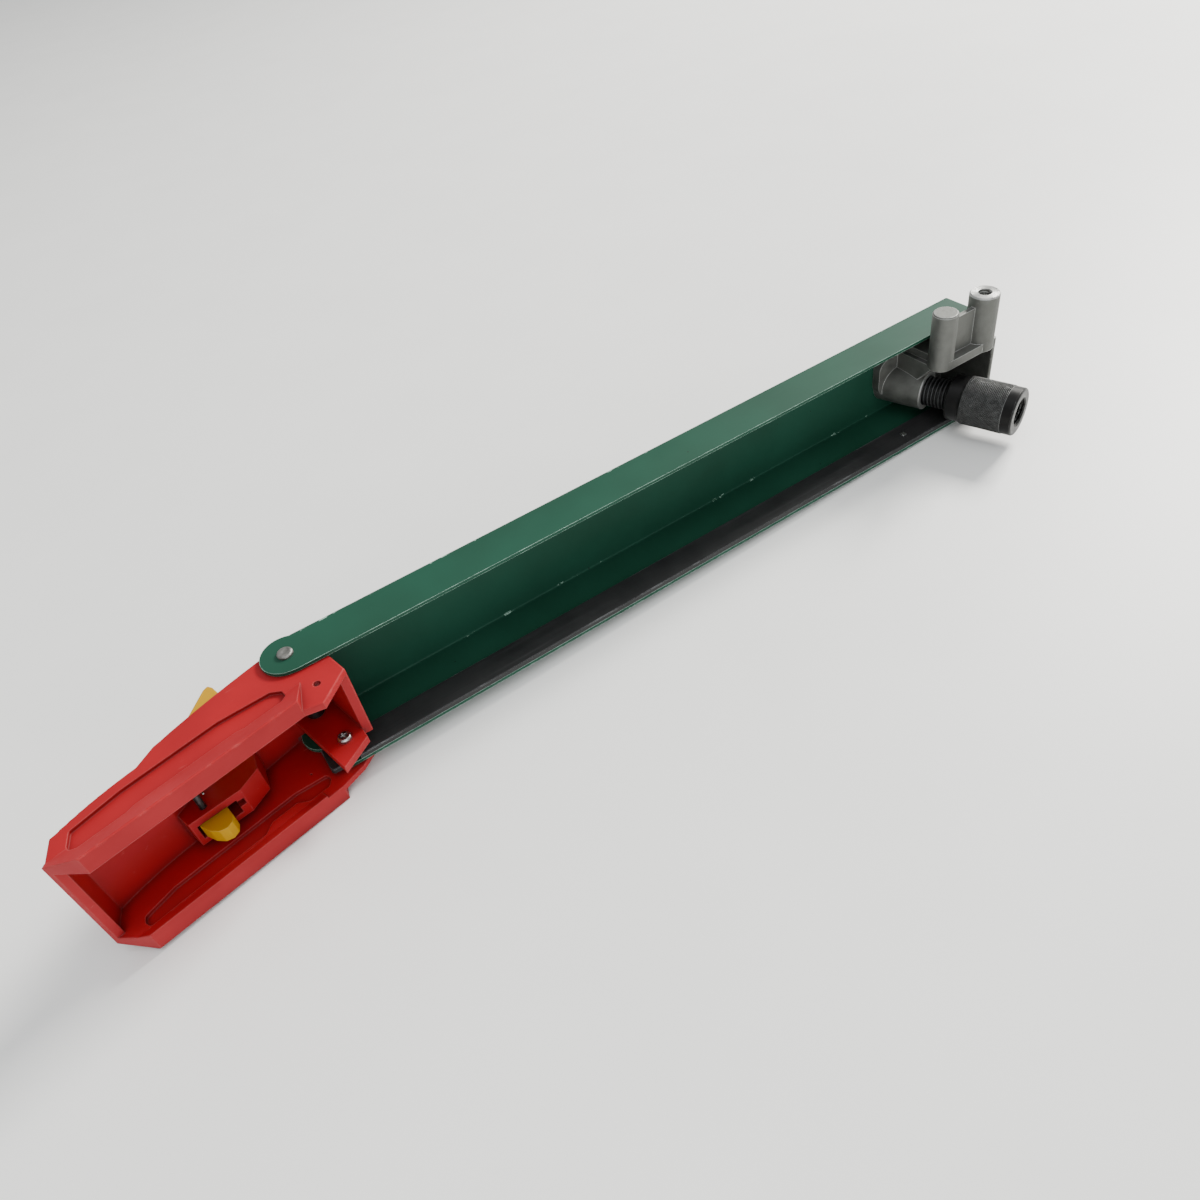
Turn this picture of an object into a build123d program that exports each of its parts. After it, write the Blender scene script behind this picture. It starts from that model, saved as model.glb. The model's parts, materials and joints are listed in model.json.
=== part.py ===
from build123d import *
import os
from math import cos, radians, sin

# Lever-operated guide arm of a tile cutter, in millimetres.
# The origin lies on the underside of the bottom flange, half way along the channel and in
# line with the pivot. +X runs along the channel away from the handle, +Y points to the
# channel's web and +Z points up.

# ---- fits and gaps -------------------------------------------------------------------
running_gap = 0.05  # radial play of a pin or shaft that turns or slides in its hole
body_gap = 0.4  # least distance between pieces that pass each other
ear_gap = 0.3  # handle ear to channel sheet
seat_gap = 0.1  # radial play of a fastener in a clearance hole
sideways_play = 0.75  # crank screw to the sides of its notch, for the arc that it follows

# ---- channel: one folded sheet, open to the front --------------------------------------
channel_length = 484.0
channel_height = 64.0
sheet = 2.0
bend_radius = 3.0  # outside of each fold
top_flange = 28.0
bottom_flange = 46.0
tab_radius = 13.5
pivot_overhang = 2.0  # pivot beyond the cut end of the web
web_hole_gap = 3.0  # hole in the web round the swivel pad

# ---- pivot -----------------------------------------------------------------------------
pivot_radius = 3.0
rivet_head_radius = 4.3
rivet_head_height = 1.8
pivot_washer_radius = 7.0
pivot_washer = 1.0
pivot_bush_radius = 5.0

# ---- handle: one moulding, U-shaped, in its own axes about the pivot -------------------
# u runs along the handle, positive towards the channel, and v towards its back.
open_angle = 11.4  # the handle stands this far from in line with the channel at rest
ear = 4.0  # thickness of the top and bottom plates
wall = 3.0
end_wall = 4.8  # wall that faces the channel
handle_reach = 139.0  # pivot to the free end
handle_front = 38.4  # pivot to the front face
ear_reach = 14.8  # pivot to the wall that faces the channel
lip_start = 21.0  # where the top surface starts to rise to the lip
lip_rise = 7.3
ridge_start = 33.0
ridge_rise = 1.8  # the bottom plate's inner face rises this much to its front edge
ridge_end = 24.0  # pivot to the end of that rise, so it clears the flange as it swings
edge_round = 0.8  # rounding of the moulding's outer edges
recess_floor = 2.0  # plate left under the long recess
recess_corner = 1.8
shelf = 4.5
shelf_top = 18.0  # above the underside of the channel
shelf_reach = 45.0  # pivot to the front corner of the shelf
shelf_left = -11.0
vent_radius = 0.5  # small blind dot in the bottom plate, left by the mould
vent_depth = 1.5
vent_u = -21.6
vent_v = -17.5

# ---- crank screw that drives the bar ---------------------------------------------------
crank_radius = 28.8
crank_screw_radius = 2.0
crank_head_radius = 3.8
crank_head_height = 2.4
crank_washer_radius = 4.5
crank_washer = 0.8
crank_nut_flats = 7.0
crank_nut_height = 3.2
crank_access_radius = 1.9
cross_width = 1.0

# ---- pull bar on the bottom flange -----------------------------------------------------
bar_width = 18.0
bar_thickness = 3.0
bar_float = 0.1  # paint and air between bar and flange
bar_near_overhang = 8.0  # bar beyond the pivot, towards the handle
bar_far_inset = 4.0  # bar end inside the channel's far end
bar_corner = 2.0
bar_travel_in = 5.5  # towards the handle, as the handle closes
bar_travel_out = 12.0  # away from the handle, as the handle opens
notch_depth = 12.4  # notch for the crank screw, from the bar's front edge
button_radius = 2.0  # riveted button in the bar
button_from_end = 70.5
button_stand = 0.3
guide_from_end = 17.0  # guide rivet from the channel's far end
guide_shank_radius = 2.0
guide_head_radius = 4.0
guide_head_height = 1.5

# ---- latch in the handle's back wall ---------------------------------------------------
latch_u = -73.0
latch_v = -11.0
latch_pin_radius = 1.75
latch_pin_top = 58.7
window_left = -67.0
window_right = -28.0
low_window_right = -43.4  # the window is narrower beside the lever
block_low = 4.0
block_high = 22.0
lever_low = 8.0
lever_high = 17.0
hook_low = 22.8
hook_root = 30.0  # top of the riser that joins lever and hook
hook_high = 56.0
hook_reach = 23.0
spring_radius = 3.1
spring_wire = 0.9
spring_turns = 5
spring_base = 38.0

# ---- end bracket: one casting ----------------------------------------------------------
bracket_length = 64.5
bracket_wall = 6.0
bracket_foot = 6.0
bracket_inset = 1.0  # inside the channel's far end
end_plate = 3.0
bracket_shelf_low = 46.0
bracket_shelf_high = 52.0
bracket_front = 33.0  # front edge of shelf and end plate, from the pivot line
bracket_shelf_length = 45.0
pad_corner_high = 41.2  # top of the wall pad's left edge
pad_round = 8.0  # rounding of that edge's ends
post_top = 84.0
near_post_radius = 8.0
far_post_radius = 9.5
near_post_from_end = 44.0
far_post_from_end = 9.0
post_line = 25.0  # posts in front of the pivot line
post_web = 3.0
post_web_top = 77.0
post_hole_radius = 4.25
post_hole_depth = 32.0
post_chamfer = 0.8
cast_round = 1.2  # rounding of the shelf's front corners
boss_radius = 13.0
boss_height = 22.0
boss_face_x_from_end = 41.3
boss_face_y = -14.6
boss_angle = 19.0  # boss axis off square, its mouth towards the far end
gusset = 11.0  # thickness of the rib that ties the boss to the near post
gusset_setback = 3.0  # rib's foot behind the boss's front face
mount_screw_radius = 2.5
mount_screw_length = 10.0
mount_head_radius = 4.75
mount_head_height = 2.8
mount_hex_flats = 3.0
mount_washer_radius = 5.0
mount_washer = 1.0
mount_screw_inset = 10.0  # from the bracket's end
mount_screw_spacing = 22.0
mount_screw_low = 14.0
mount_screw_high = 38.0

# ---- clamp screw and knob --------------------------------------------------------------
screw_radius = 10.0
screw_pitch = 2.5
thread_depth = 1.35
screw_inside = 26.0  # screw behind the boss's face
screw_outside = 17.0  # thread between the boss and the knob
knob_radius = 16.0
knob_length = 45.0
collar_radius = 15.0
collar_length = 9.5
band_length = 7.0
band_radius = 15.7
knob_chamfer = 1.0
socket_radius = 8.0
socket_depth = 14.0
shank_in_knob = 28.0
shank_step = 0.05  # plain shank under the thread's root
pad_inset = 1.5  # swivel pad inside the screw's radius, so it passes the bore
pad_thickness = 5.0
pad_stem_radius = 2.5
pad_stem_length = 8.0
grub_radius = 2.5
grub_length = 6.0
grub_seat = 0.1

# ---- worked-out places -----------------------------------------------------------------
near_end = -channel_length / 2
far_end = channel_length / 2
pivot_x = near_end - pivot_overhang
web_out = top_flange / 2
web_in = web_out - sheet
flange_front = web_out - bottom_flange
under_top = channel_height - sheet
bar_low = sheet + bar_float
bar_high = bar_low + bar_thickness
bar_back = flange_front + bar_width
bar_middle = (flange_front + bar_back) / 2
plate_top = under_top - ear_gap
cavity_high = plate_top - ear
cavity_low = -ear_gap
plate_bottom = cavity_low - ear
shelf_low = shelf_top - shelf
turn = radians(open_angle)
end_x = far_end - bracket_inset
boss_x = far_end - boss_face_x_from_end
near_post_x = far_end - near_post_from_end
far_post_x = far_end - far_post_from_end
guide_x = far_end - guide_from_end
button_x = far_end - button_from_end
tilt = radians(boss_angle)
axis_out = Vector(sin(tilt), -cos(tilt), 0)
root_radius = screw_radius - thread_depth
shank_radius = root_radius - shank_step
pad_radius = screw_radius - pad_inset
knob_end = screw_outside + knob_length
mount_places = [
    (end_x - mount_screw_inset, mount_screw_low),
    (end_x - mount_screw_inset, mount_screw_high),
    (end_x - mount_screw_inset - mount_screw_spacing, mount_screw_low),
]

# Plan of the handle in its own axes: u along it, v across it.
tail = -handle_reach
tail_back = (tail + 8.0, -9.3)
tail_side = (tail, -23.5)
tail_front = (tail + 13.5, -handle_front)
grip_back = (-86.0, -3.0)
waist_back = (-74.4, 2.3)
ear_back = (-12.0, 10.4)
ear_heel = (5.0, 9.6)
ear_side = (ear_reach, 2.0)
ear_front = (ear_reach, -31.3)
nose = (-4.8, -42.7)
low_ear_front = (ear_reach - 1.5, -29.5)
low_nose = (0.5, -35.5)
lip_end = (-14.5, -handle_front)
lip_root = (-4.4, -20.0)

os.makedirs("parts", exist_ok=True)


def save(piece, name):
    """Label a finished piece and write its STEP file."""
    piece.part.label = name
    export_step(piece.part, f"parts/{name}.step")


def handle_plane(height):
    """Plane at a height, with its origin on the pivot and its X axis along the handle."""
    along = (cos(turn), sin(turn), 0)
    return Plane(origin=(pivot_x, 0, height), x_dir=along, z_dir=(0, 0, 1))


def handle_section():
    """Plane square to the handle at the pivot: its X axis is v and its Y axis is up."""
    along = (cos(turn), sin(turn), 0)
    across = (-sin(turn), cos(turn), 0)
    return Plane(origin=(pivot_x, 0, 0), x_dir=across, z_dir=along)


def boss_plane(out):
    """Plane square to the clamp screw, a distance out from the boss's front face."""
    face = Vector(boss_x, boss_face_y, boss_height)
    return Plane(origin=face + axis_out * out, x_dir=(0, 0, 1), z_dir=axis_out)


def back_plane(out):
    """Plane along the web, a distance behind its back face; its normal points inwards."""
    return Plane.XZ.offset(-web_out - out)


def handle_back_edge():
    """The handle's back edge and free end, drawn from the channel end to the front."""
    Line(ear_side, ear_heel)
    Line(ear_heel, ear_back)
    ThreePointArc(ear_back, (-45.0, 7.0), waist_back)
    Line(waist_back, grip_back)
    ThreePointArc(grip_back, (-108.0, -4.7), tail_back)
    Polyline(tail_back, tail_side, tail_front)


def top_recess_edges():
    """Top plate's recess: pointed ends, and a front edge stepped in between them."""
    Polyline(
        (tail + 12.0, -20.0),
        (tail + 16.0, -12.8),
        (-97.0, -9.8),
        (-46.0, -9.8),
        (-19.0, -14.2),
        (-14.2, -18.5),
        (-14.8, -24.0),
        (-18.5, -27.2),
        (-39.0, -27.2),
        (-43.0, -25.2),
        (-96.0, -25.2),
        (-100.0, -27.2),
        (tail + 15.5, -27.2),
        (tail + 12.0, -24.0),
        close=True,
    )


def bottom_recess_edges():
    """Bottom plate's recess, beside the rise to its front edge."""
    Polyline(
        (tail + 15.0, -29.0),
        (tail + 16.5, -25.3),
        (-104.8, -21.7),
        (-34.0, -21.3),
        (-16.4, -24.7),
        (-16.0, -29.0),
        (-19.3, -32.0),
        (-31.0, -32.0),
        (-37.0, -27.4),
        (-52.0, -27.4),
        (-58.0, -31.6),
        (-101.0, -32.0),
        (tail + 16.0, -32.6),
        close=True,
    )


# ---- channel ---------------------------------------------------------------------------
# The section is folded from flat sheet: a narrow top flange, the web at the back and a
# wide bottom flange. Both flanges end in round tabs that hold the pivot.
with BuildPart() as channel:
    with BuildSketch(Plane.YZ.offset(near_end)) as section:
        with BuildLine():
            Polyline(
                (-web_out, channel_height),
                (web_out, channel_height),
                (web_out, 0),
                (flange_front, 0),
                (flange_front, sheet),
                (web_in, sheet),
                (web_in, under_top),
                (-web_out, under_top),
                close=True,
            )
        make_face()
        fillet(section.vertices().filter_by(lambda v: v.X == web_out), bend_radius)
        fillet(section.vertices().filter_by(lambda v: v.X == web_in), bend_radius - sheet)
    extrude(amount=channel_length)
    for low in (0, under_top):
        with BuildSketch(Plane.XY.offset(low)):
            with BuildLine():
                Line((near_end, -web_out), (near_end, web_out - bend_radius))
            with Locations((pivot_x, 0)):
                Circle(tab_radius)
            make_hull()
        extrude(amount=sheet)
    with BuildSketch(Plane.XY):
        with Locations((pivot_x, 0)):
            Circle(pivot_radius)
    extrude(amount=channel_height, mode=Mode.SUBTRACT)
    with BuildSketch(Plane.XY):
        with Locations((guide_x, bar_middle)):
            Circle(guide_shank_radius)
    extrude(amount=sheet, mode=Mode.SUBTRACT)
    with BuildSketch(boss_plane(0)):
        Circle(pad_radius + web_hole_gap)
    extrude(amount=-2 * bottom_flange, mode=Mode.SUBTRACT)
    with BuildSketch(back_plane(0)):
        with Locations(*mount_places):
            Circle(mount_screw_radius + seat_gap)
    extrude(amount=sheet, mode=Mode.SUBTRACT)
save(channel, "channel")

# ---- pivot pin and its washer ----------------------------------------------------------
# The pin is riveted through both tabs and carries the handle's two ears between them.
pin_foot = plate_bottom - ear_gap - pivot_washer
with BuildPart() as pivot_pin:
    with BuildSketch(Plane.XY.offset(pin_foot)):
        with Locations((pivot_x, 0)):
            Circle(pivot_radius)
    extrude(amount=channel_height - pin_foot)
    with BuildSketch(Plane.XY.offset(channel_height)):
        with Locations((pivot_x, 0)):
            Circle(rivet_head_radius)
    extrude(amount=rivet_head_height)
    fillet(pivot_pin.edges().sort_by(Axis.Z)[-1], rivet_head_height * 0.7)
    with BuildSketch(Plane.XY.offset(pin_foot)):
        with Locations((pivot_x, 0)):
            Circle(rivet_head_radius)
    extrude(amount=-rivet_head_height)
    fillet(pivot_pin.edges().sort_by(Axis.Z)[0], rivet_head_height * 0.7)
save(pivot_pin, "pivot_pin")

with BuildPart() as pivot_washer_ring:
    with BuildSketch(Plane.XY.offset(pin_foot)):
        with Locations((pivot_x, 0)):
            Circle(pivot_washer_radius)
            Circle(pivot_radius + seat_gap, mode=Mode.SUBTRACT)
    extrude(amount=pivot_washer)
save(pivot_washer_ring, "pivot_washer")

# ---- handle ----------------------------------------------------------------------------
# The front edge of each plate is a lip that grows outwards from the plate.
lip_plan = (tail_back, tail_side, tail_front, lip_end, lip_root, (lip_root[0], tail_back[1]))
with BuildPart() as top_lip:
    with BuildSketch(handle_section()):
        with BuildLine():
            Polyline(
                (-lip_start, cavity_high),
                (-lip_start, plate_top),
                (-handle_front, plate_top + lip_rise),
                (-handle_front, cavity_high),
                close=True,
            )
        make_face()
    extrude(amount=-handle_reach)
    with BuildSketch(handle_plane(cavity_high)):
        with BuildLine():
            Polyline(*lip_plan, close=True)
        make_face()
    extrude(amount=ear + lip_rise, mode=Mode.INTERSECT)
    fillet(top_lip.edges().sort_by(Axis.Z)[-1], edge_round)

with BuildPart() as bottom_lip:
    with BuildSketch(handle_section()):
        with BuildLine():
            Polyline(
                (-lip_start, plate_bottom),
                (-handle_front, plate_bottom - lip_rise),
                (-handle_front, cavity_low + ridge_rise),
                (-ridge_start, cavity_low),
                (-lip_start, cavity_low),
                close=True,
            )
        make_face()
    extrude(amount=-handle_reach)
    with BuildSketch(handle_plane(plate_bottom - lip_rise)):
        with BuildLine():
            Polyline(*lip_plan, close=True)
        make_face()
    extrude(amount=lip_rise + ear + ridge_rise, mode=Mode.INTERSECT)
    fillet(bottom_lip.edges().sort_by(Axis.Z)[0], edge_round)
    with BuildSketch(handle_plane(cavity_low)):
        with Locations((0, -handle_front)):
            Rectangle(2 * ridge_end, 2 * (handle_front - lip_start))
    extrude(amount=ridge_rise, mode=Mode.SUBTRACT)

# Top plate, with a flat ear under the channel's tab, and bottom plate below the other tab.
with BuildPart() as top_plate:
    with BuildSketch(handle_plane(cavity_high)):
        with BuildLine():
            handle_back_edge()
            Polyline(tail_front, lip_end, nose, ear_front, ear_side)
        make_face()
    extrude(amount=ear)
    fillet(top_plate.edges().group_by(Axis.Z)[-1], edge_round)

with BuildPart() as bottom_plate:
    with BuildSketch(handle_plane(plate_bottom)):
        with BuildLine():
            handle_back_edge()
            Polyline(tail_front, lip_end, low_nose, low_ear_front, ear_side)
        make_face()
    extrude(amount=ear)
    fillet(bottom_plate.edges().group_by(Axis.Z)[0], edge_round)

with BuildPart() as handle_shell:
    # Walls: along the back, round the free end and across the channel end.
    with BuildSketch(handle_plane(cavity_low)):
        with BuildLine():
            handle_back_edge()
            Polyline(tail_front, lip_end, nose, ear_front, ear_side)
        make_face()
        offset(amount=-wall, mode=Mode.SUBTRACT)
        with BuildLine():
            Polyline(
                (tail - wall, tail_side[1] - 2),
                (ear_reach - end_wall, tail_side[1] - 2),
                (ear_reach - end_wall, ear_front[1] + 0.8),
                (ear_reach + wall, ear_front[1] - 1.2),
                (ear_reach + wall, -2 * handle_front),
                (tail - wall, -2 * handle_front),
                close=True,
            )
        make_face(mode=Mode.SUBTRACT)
    extrude(amount=cavity_high - cavity_low)
    with BuildSketch(handle_plane(cavity_low)):
        with BuildLine():
            Polyline(
                (ear_reach, ear_side[1]),
                (ear_reach - end_wall, ear_side[1] + 2),
                (ear_reach - end_wall, ear_front[1] + 0.8),
                (ear_reach, ear_front[1]),
                close=True,
            )
        make_face()
    extrude(amount=cavity_high - cavity_low)
    # The end wall stops above the bar, and the back wall just above the channel's tab.
    with BuildSketch(handle_plane(cavity_low)):
        with Locations((2 * ear_reach, 0)):
            Rectangle(
                4 * ear_reach + 2 * tab_radius,
                4 * tab_radius,
                align=(Align.CENTER, Align.MIN),
            )
    extrude(amount=sheet + body_gap - cavity_low, mode=Mode.SUBTRACT)
    with BuildSketch(handle_plane(cavity_low)):
        with Locations((-tab_radius - wall, 0)):
            Rectangle(
                2 * ear_reach + tab_radius + wall,
                2 * handle_front,
                align=(Align.MIN, Align.MAX),
            )
    extrude(amount=shelf_low - cavity_low, mode=Mode.SUBTRACT)
    # Shelf for the crank screw.
    with BuildSketch(handle_plane(shelf_low)):
        with BuildLine():
            Polyline(
                ear_side,
                ear_heel,
                (shelf_left, ear_heel[1]),
                (shelf_left, -shelf_reach),
                (8.8, -37.2),
                (ear_reach - end_wall, ear_front[1] + 0.8),
                ear_front,
                close=True,
            )
        make_face()
    extrude(amount=shelf)
    # Block that holds the latch against the back wall.
    with BuildSketch(handle_plane(block_low)):
        with BuildLine():
            Polyline(
                (-84.5, -4.0),
                (-83.5, -15.4),
                (-55.0, -17.0),
                (-42.0, -12.0),
                (-36.0, 5.0),
                (-72.0, 0.5),
                close=True,
            )
        make_face()
    extrude(amount=block_high - block_low)
    # Plates and their lips.
    add(top_plate.part)
    add(top_lip.part)
    add(bottom_plate.part)
    add(bottom_lip.part)
    # Long recesses in the upper faces of both plates, and the moulding's vent dot.
    with BuildSketch(handle_plane(cavity_high + recess_floor)) as top_recess:
        with BuildLine():
            top_recess_edges()
        make_face()
        fillet(top_recess.vertices(), recess_corner)
    extrude(amount=ear + lip_rise, mode=Mode.SUBTRACT)
    with BuildSketch(handle_plane(plate_bottom + recess_floor)) as bottom_recess:
        with BuildLine():
            bottom_recess_edges()
        make_face()
        fillet(bottom_recess.vertices(), recess_corner)
    extrude(amount=ear, mode=Mode.SUBTRACT)
    with BuildSketch(handle_plane(cavity_low)):
        with Locations((vent_u, vent_v)):
            Circle(vent_radius)
    extrude(amount=-vent_depth, mode=Mode.SUBTRACT)
    # Window in the back wall and slot in the block, for the latch.
    window_front = latch_v + 7
    window_back = ear_back[1] + wall
    with BuildSketch(handle_plane(block_high)):
        with Locations((window_left, window_front)):
            Rectangle(
                window_right - window_left,
                window_back - window_front,
                align=(Align.MIN, Align.MIN),
            )
    extrude(amount=cavity_high - block_high - 0.5, mode=Mode.SUBTRACT)
    with BuildSketch(handle_plane(lever_low - body_gap)):
        with Locations((window_left, window_front)):
            Rectangle(
                low_window_right - window_left,
                window_back - window_front,
                align=(Align.MIN, Align.MIN),
            )
    extrude(amount=lever_high - lever_low + 2 * body_gap, mode=Mode.SUBTRACT)
    with BuildSketch(handle_plane(lever_low - body_gap)):
        with BuildLine():
            Polyline(
                (-83.0, -30.0),
                (-60.0, -30.0),
                (-58.5, latch_v + 8),
                (-83.0 + 4, latch_v + 8),
                close=True,
            )
        make_face()
    extrude(amount=lever_high - lever_low + 2 * body_gap, mode=Mode.SUBTRACT)
    with BuildSketch(handle_plane(lever_low + 3.5)):
        with Locations((-57.5, -17.0)):
            Rectangle(3.6, 9.0)
    extrude(amount=4.5, mode=Mode.SUBTRACT)
    # Holes for the latch pin, the pivot pin and the crank screw with its driver access.
    with BuildSketch(handle_plane(plate_bottom)):
        with Locations((latch_u, latch_v)):
            Circle(latch_pin_radius)
    extrude(amount=latch_pin_top - plate_bottom, mode=Mode.SUBTRACT)
    with BuildSketch(handle_plane(plate_bottom)):
        Circle(pivot_radius + running_gap)
    extrude(amount=plate_top - plate_bottom, mode=Mode.SUBTRACT)
    with BuildSketch(handle_plane(shelf_low)):
        with Locations((0, -crank_radius)):
            Circle(crank_screw_radius + seat_gap)
    extrude(amount=shelf, mode=Mode.SUBTRACT)
    with BuildSketch(handle_plane(cavity_high)):
        with Locations((0, -crank_radius)):
            Circle(crank_access_radius)
    extrude(amount=ear, mode=Mode.SUBTRACT)
save(handle_shell, "handle_shell")

with BuildPart() as pivot_bush:
    with BuildSketch(handle_plane(shelf_top)):
        Circle(pivot_bush_radius)
        Circle(pivot_radius + running_gap, mode=Mode.SUBTRACT)
    extrude(amount=cavity_high - shelf_top)
save(pivot_bush, "pivot_bush")

# ---- crank screw, washer and nut -------------------------------------------------------
# The screw hangs from the shelf and its plain end drives the bar.
crank_tip = bar_low + body_gap
with BuildPart() as crank_screw:
    with BuildSketch(handle_plane(crank_tip)):
        with Locations((0, -crank_radius)):
            Circle(crank_screw_radius)
    extrude(amount=shelf_top - crank_tip)
    with BuildSketch(handle_plane(shelf_top)):
        with Locations((0, -crank_radius)):
            Circle(crank_head_radius)
    extrude(amount=crank_head_height)
    fillet(crank_screw.edges().sort_by(Axis.Z)[-1], crank_head_height * 0.6)
    with BuildSketch(handle_plane(shelf_top + crank_head_height)):
        with Locations((0, -crank_radius)):
            Rectangle(crank_head_radius, cross_width)
            Rectangle(cross_width, crank_head_radius)
    extrude(amount=-crank_head_height * 0.6, mode=Mode.SUBTRACT)
save(crank_screw, "crank_screw")

with BuildPart() as crank_washer_ring:
    with BuildSketch(handle_plane(shelf_low)):
        with Locations((0, -crank_radius)):
            Circle(crank_washer_radius)
            Circle(crank_screw_radius + seat_gap, mode=Mode.SUBTRACT)
    extrude(amount=-crank_washer)
save(crank_washer_ring, "crank_washer")

with BuildPart() as crank_nut:
    with BuildSketch(handle_plane(shelf_low - crank_washer)):
        with Locations((0, -crank_radius)):
            RegularPolygon(crank_nut_flats / 2, 6, major_radius=False)
            Circle(crank_screw_radius + seat_gap / 2, mode=Mode.SUBTRACT)
    extrude(amount=-crank_nut_height)
save(crank_nut, "crank_nut")

# ---- pull bar and its guide rivet ------------------------------------------------------
# A notch across the bar takes the crank screw, and a slot along it runs on the rivet.
crank_x = pivot_x + crank_radius * sin(turn)
notch_radius = crank_screw_radius + sideways_play
notch_centre = flange_front + notch_depth - notch_radius
slot_middle = guide_x + (bar_travel_in - bar_travel_out) / 2
with BuildPart() as pull_bar:
    with BuildSketch(Plane.XY.offset(bar_low)) as bar_plan:
        with BuildLine():
            Polyline(
                (pivot_x - bar_near_overhang, flange_front),
                (far_end - bar_far_inset, flange_front),
                (far_end - bar_far_inset, bar_back),
                (pivot_x - bar_near_overhang, bar_back),
                close=True,
            )
        make_face()
        fillet(bar_plan.vertices(), bar_corner)
        with Locations((crank_x, notch_centre)):
            Circle(notch_radius, mode=Mode.SUBTRACT)
        with Locations((crank_x, notch_centre - notch_depth / 2)):
            Rectangle(2 * notch_radius, notch_depth, mode=Mode.SUBTRACT)
        with Locations((slot_middle, bar_middle)):
            SlotCenterToCenter(
                bar_travel_in + bar_travel_out,
                2 * (guide_shank_radius + ear_gap),
                mode=Mode.SUBTRACT,
            )
        with Locations((button_x, bar_middle)):
            Circle(button_radius, mode=Mode.SUBTRACT)
    extrude(amount=bar_thickness)
    chamfer(pull_bar.faces().sort_by(Axis.Z)[-1].outer_wire().edges().filter_by(Axis.X), 0.4)
save(pull_bar, "pull_bar")

with BuildPart() as bar_guide_rivet:
    with BuildSketch(Plane.XY):
        with Locations((guide_x, bar_middle)):
            Circle(guide_shank_radius)
    extrude(amount=bar_high + ear_gap)
    with BuildSketch(Plane.XY.offset(bar_high + ear_gap)):
        with Locations((guide_x, bar_middle)):
            Circle(guide_head_radius)
    extrude(amount=guide_head_height)
    fillet(bar_guide_rivet.edges().sort_by(Axis.Z)[-1], guide_head_height * 0.6)
save(bar_guide_rivet, "bar_guide_rivet")

with BuildPart() as bar_button:
    with BuildSketch(Plane.XY.offset(bar_low)):
        with Locations((button_x, bar_middle)):
            Circle(button_radius)
    extrude(amount=bar_thickness + button_stand)
save(bar_button, "bar_button")

# ---- latch: lever, pin and return spring -----------------------------------------------
# The lever turns on the pin. Its finger tip stands in the cavity and its hook stands out
# of the back wall.
with BuildPart() as latch_lever:
    with BuildSketch(handle_plane(lever_low)) as tongue:
        with BuildLine():
            Polyline(
                (-79.6, -15.5),
                (-77.4, -22.3),
                (-74.2, -26.4),
                (-70.4, -27.8),
                (-66.8, -26.4),
                (-64.6, -22.6),
                (-64.0, -9.0),
                (-58.0, 1.6),
                (-48.0, 5.6),
                (-47.2, 13.0),
                (-49.0, 14.4),
                (-61.5, 4.9),
                (-67.0, -4.0),
                (-73.0, -6.4),
                (-77.6, -8.8),
                close=True,
            )
        make_face()
        fillet(tongue.vertices(), 1.2)
    extrude(amount=lever_high - lever_low)
    with BuildSketch(handle_plane(hook_low)) as hook:
        with BuildLine():
            Polyline(
                (-63.5, 4.2),
                (-39.8, hook_reach - 1),
                (-36.8, hook_reach),
                (-35.4, hook_reach - 3),
                (-35.0, 9.0),
                (-37.0, 5.0),
                (-60.0, 1.6),
                close=True,
            )
        make_face()
        fillet(hook.vertices().group_by(Axis.Y)[-1], 0.8)
    extrude(amount=hook_high - hook_low)
    with BuildSketch(handle_plane(lever_low)) as riser:
        with BuildLine():
            Polyline((-54.5, 10.8), (-47.0, 16.4), (-45.5, 12.4), (-50.5, 11.0), close=True)
        make_face()
        fillet(riser.vertices(), 0.5)
    extrude(amount=hook_root - lever_low)
    with BuildSketch(handle_plane(lever_low)):
        with Locations((latch_u, latch_v)):
            Circle(latch_pin_radius + running_gap)
    extrude(amount=lever_high - lever_low, mode=Mode.SUBTRACT)
save(latch_lever, "latch_lever")

with BuildPart() as latch_pin:
    with BuildSketch(handle_plane(plate_bottom)):
        with Locations((latch_u, latch_v)):
            Circle(latch_pin_radius)
    extrude(amount=latch_pin_top - plate_bottom)
save(latch_pin, "latch_pin")

spring_start = handle_plane(spring_base) * Pos(latch_u, latch_v, 0)
spring_pitch = spring_wire * 1.25
with BuildPart() as latch_spring:
    with BuildLine() as coil:
        Helix(
            pitch=spring_pitch,
            height=spring_pitch * spring_turns,
            radius=spring_radius,
            center=spring_start.position,
        )
    with BuildSketch(Plane(origin=coil.line @ 0, z_dir=coil.line % 0)):
        Circle(spring_wire / 2)
    sweep(is_frenet=True)
save(latch_spring, "latch_spring")

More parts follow.
